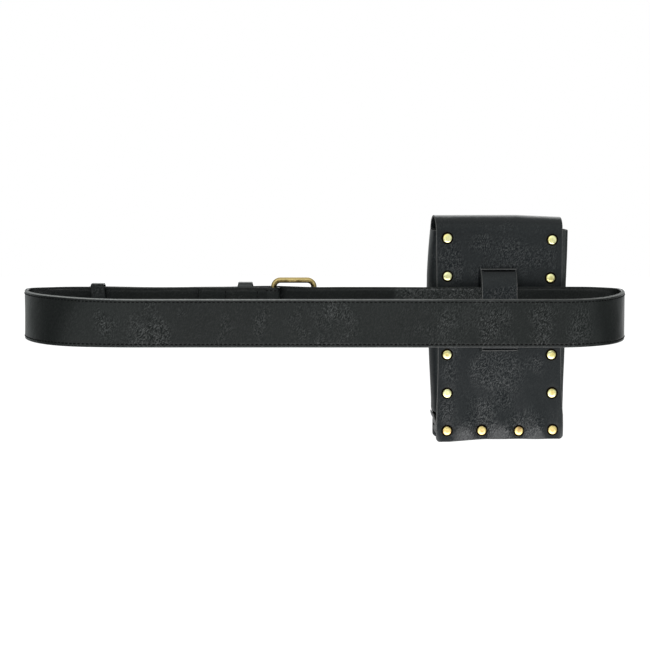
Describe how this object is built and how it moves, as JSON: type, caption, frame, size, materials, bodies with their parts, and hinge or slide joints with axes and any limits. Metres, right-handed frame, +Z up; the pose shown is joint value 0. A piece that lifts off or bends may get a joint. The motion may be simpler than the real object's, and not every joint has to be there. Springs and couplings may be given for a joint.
{
  "type": "hip bag",
  "caption": "Upright leather belt pouch with a long rolled flap, swelling side gussets and brass rivets, held by a sewn loop on a buckled waist belt that is closed into a long ring.",
  "frame": {"origin": "the middle of the belt's closed ring, halfway up the belt, where the wearer's waist goes through", "axes": "+X runs along the ring's long way, towards the pouch; +Y points to the buckle side, which the pouch hangs outside of; +Z is up, along the waist"},
  "size_m": [0.4909, 0.1427, 0.1884],
  "materials": {
    "black_leather": "black coated leather with a fine crinkled grain and a soft sheen, raw edges a little paler",
    "pale_brass": "bright polished pale brass",
    "aged_brass": "antique brass, dark in its recesses and worn bright on its edges"
  },
  "bodies": {
    "root": {"belt_strap": "black_leather", "buckle_frame": "aged_brass", "buckle_prong": "aged_brass", "fixed_keeper": "black_leather", "sliding_keeper": "black_leather", "back_panel_and_flap": "black_leather", "front_panel": "black_leather", "left_gusset": "black_leather", "right_gusset": "black_leather", "bottom_gusset": "black_leather", "belt_loop": "black_leather", "flap_snap": "pale_brass", "back_rivet_left_1": "pale_brass", "back_rivet_left_2": "pale_brass", "back_rivet_left_3": "pale_brass", "back_rivet_left_4": "pale_brass", "back_rivet_left_5": "pale_brass", "back_rivet_left_6": "pale_brass", "back_rivet_right_1": "pale_brass", "back_rivet_right_2": "pale_brass", "back_rivet_right_3": "pale_brass", "back_rivet_right_4": "pale_brass", "back_rivet_right_5": "pale_brass", "back_rivet_right_6": "pale_brass", "back_rivet_lower_left": "pale_brass", "back_rivet_lower_right": "pale_brass", "front_rivet_left_1": "pale_brass", "front_rivet_left_2": "pale_brass", "front_rivet_left_3": "pale_brass", "front_rivet_left_4": "pale_brass", "front_rivet_left_5": "pale_brass", "front_rivet_left_6": "pale_brass", "front_rivet_right_1": "pale_brass", "front_rivet_right_2": "pale_brass", "front_rivet_right_3": "pale_brass", "front_rivet_right_4": "pale_brass", "front_rivet_right_5": "pale_brass", "front_rivet_right_6": "pale_brass", "front_rivet_lower_left": "pale_brass", "front_rivet_lower_right": "pale_brass"}
  },
  "joints": []
}
